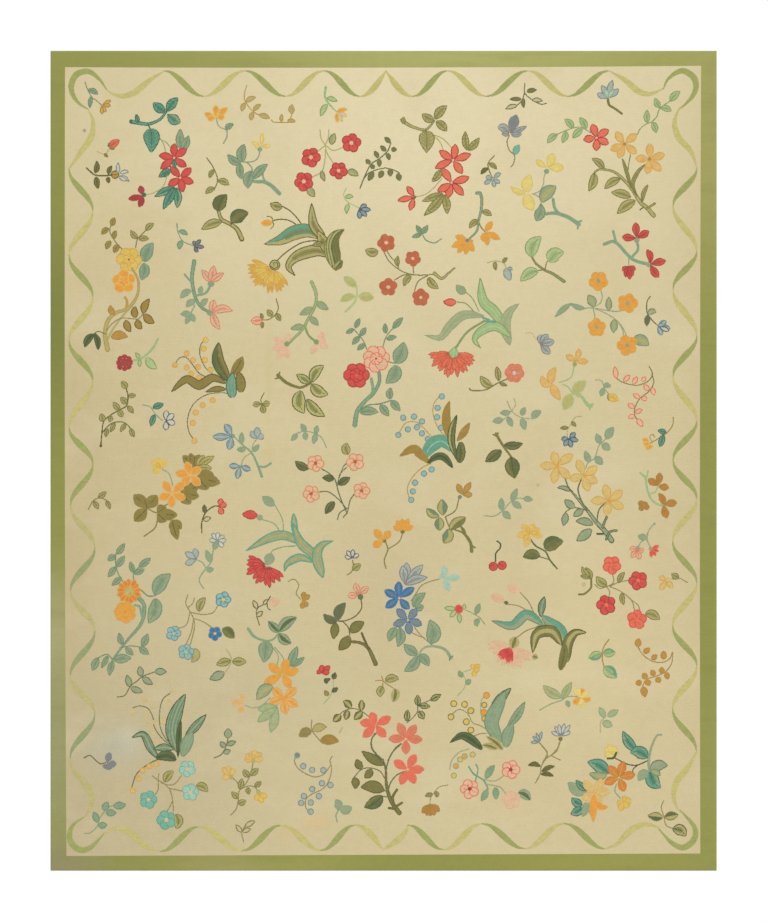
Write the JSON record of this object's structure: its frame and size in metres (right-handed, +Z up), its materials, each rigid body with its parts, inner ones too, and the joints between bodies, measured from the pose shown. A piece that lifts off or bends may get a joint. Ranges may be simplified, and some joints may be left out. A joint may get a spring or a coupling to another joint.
{
  "type": "needlepoint rug",
  "caption": "Flat rectangular needlepoint rug: cream ground with scattered flower sprays, a twisted ribbon edge and a plain green border; lies on a floor.",
  "frame": {"origin": "middle of the underside, on the floor", "axes": "+X across the width, +Y along the length towards the end with the upright ribbon peak, +Z up out of the stitched face"},
  "size_m": [3.05, 3.754, 0.0057],
  "materials": {
    "wool": "matt wool needlepoint, tent stitches on canvas"
  },
  "bodies": {
    "root": {"rug": "wool"}
  },
  "joints": []
}
